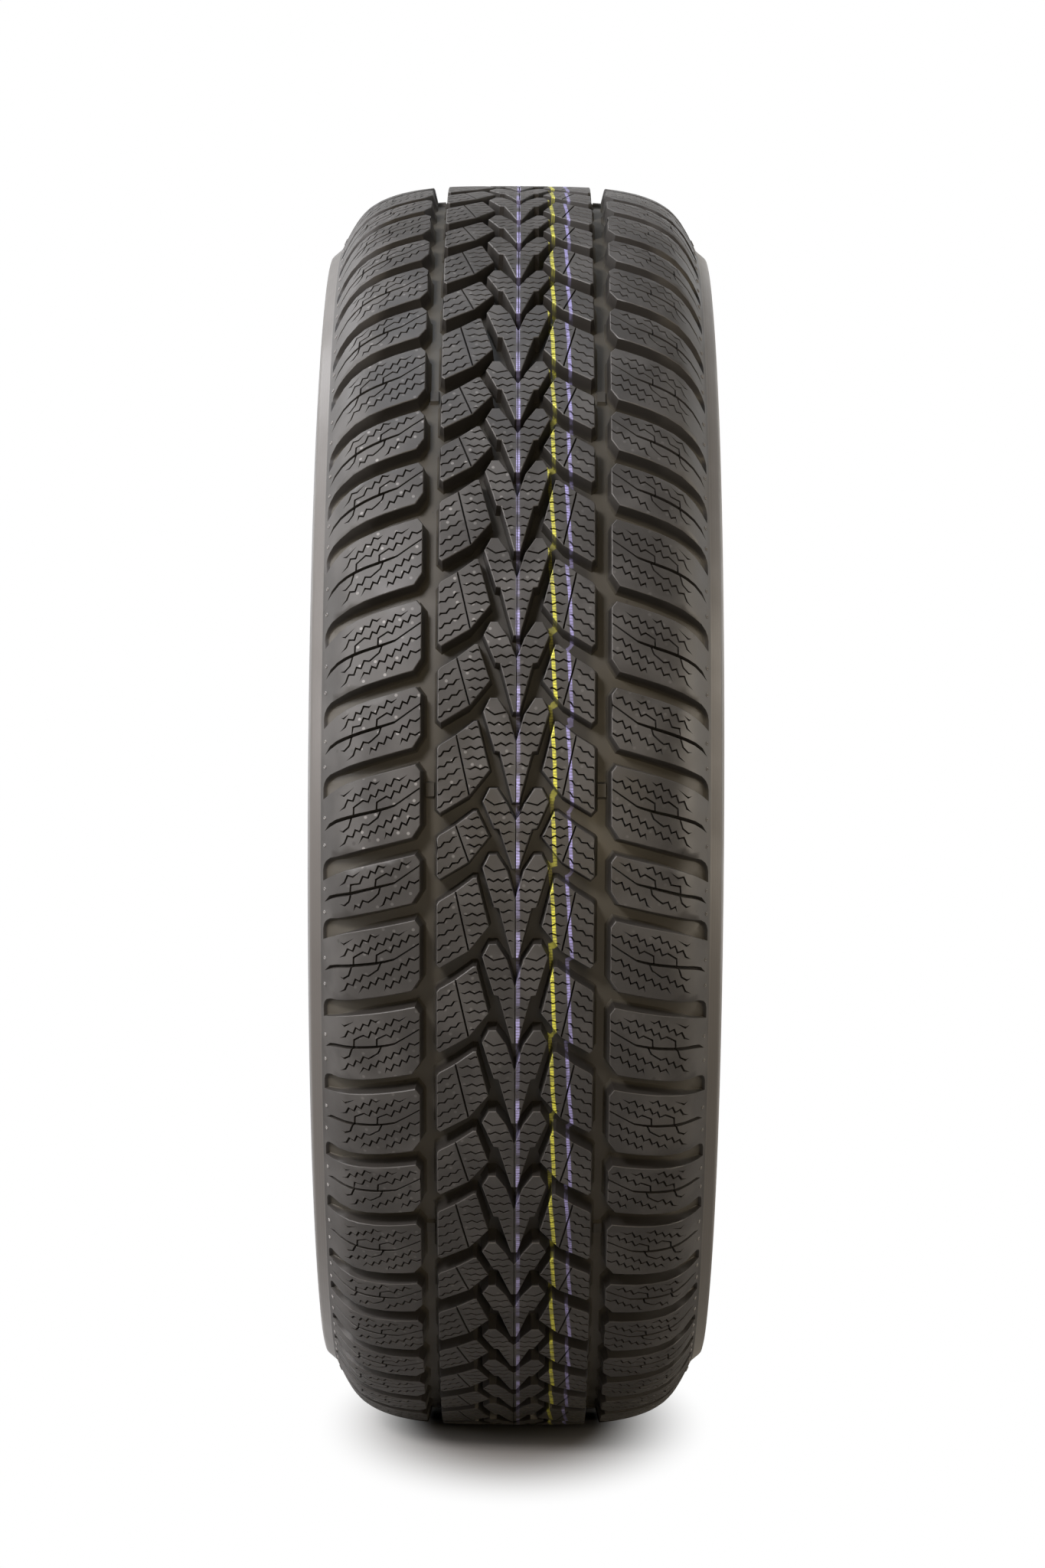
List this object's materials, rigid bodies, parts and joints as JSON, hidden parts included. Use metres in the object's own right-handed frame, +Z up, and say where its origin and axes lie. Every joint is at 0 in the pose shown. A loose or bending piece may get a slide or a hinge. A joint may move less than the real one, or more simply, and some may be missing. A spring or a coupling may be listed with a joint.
{
  "type": "car tyre",
  "caption": "Passenger car winter tyre with a directional V-shaped block tread, smooth sidewalls and two beads that seat on a wheel rim.",
  "frame": {"origin": "centre of the wheel, on the axle line midway between the beads", "axes": "+Y along the axle, +Z up from the ground, +X towards the side of the tread where its arrows point down"},
  "size_m": [0.6227, 0.1906, 0.6207],
  "materials": {
    "tyre_rubber": "matte"
  },
  "bodies": {
    "root": {"tyre": "tyre_rubber"}
  },
  "joints": []
}
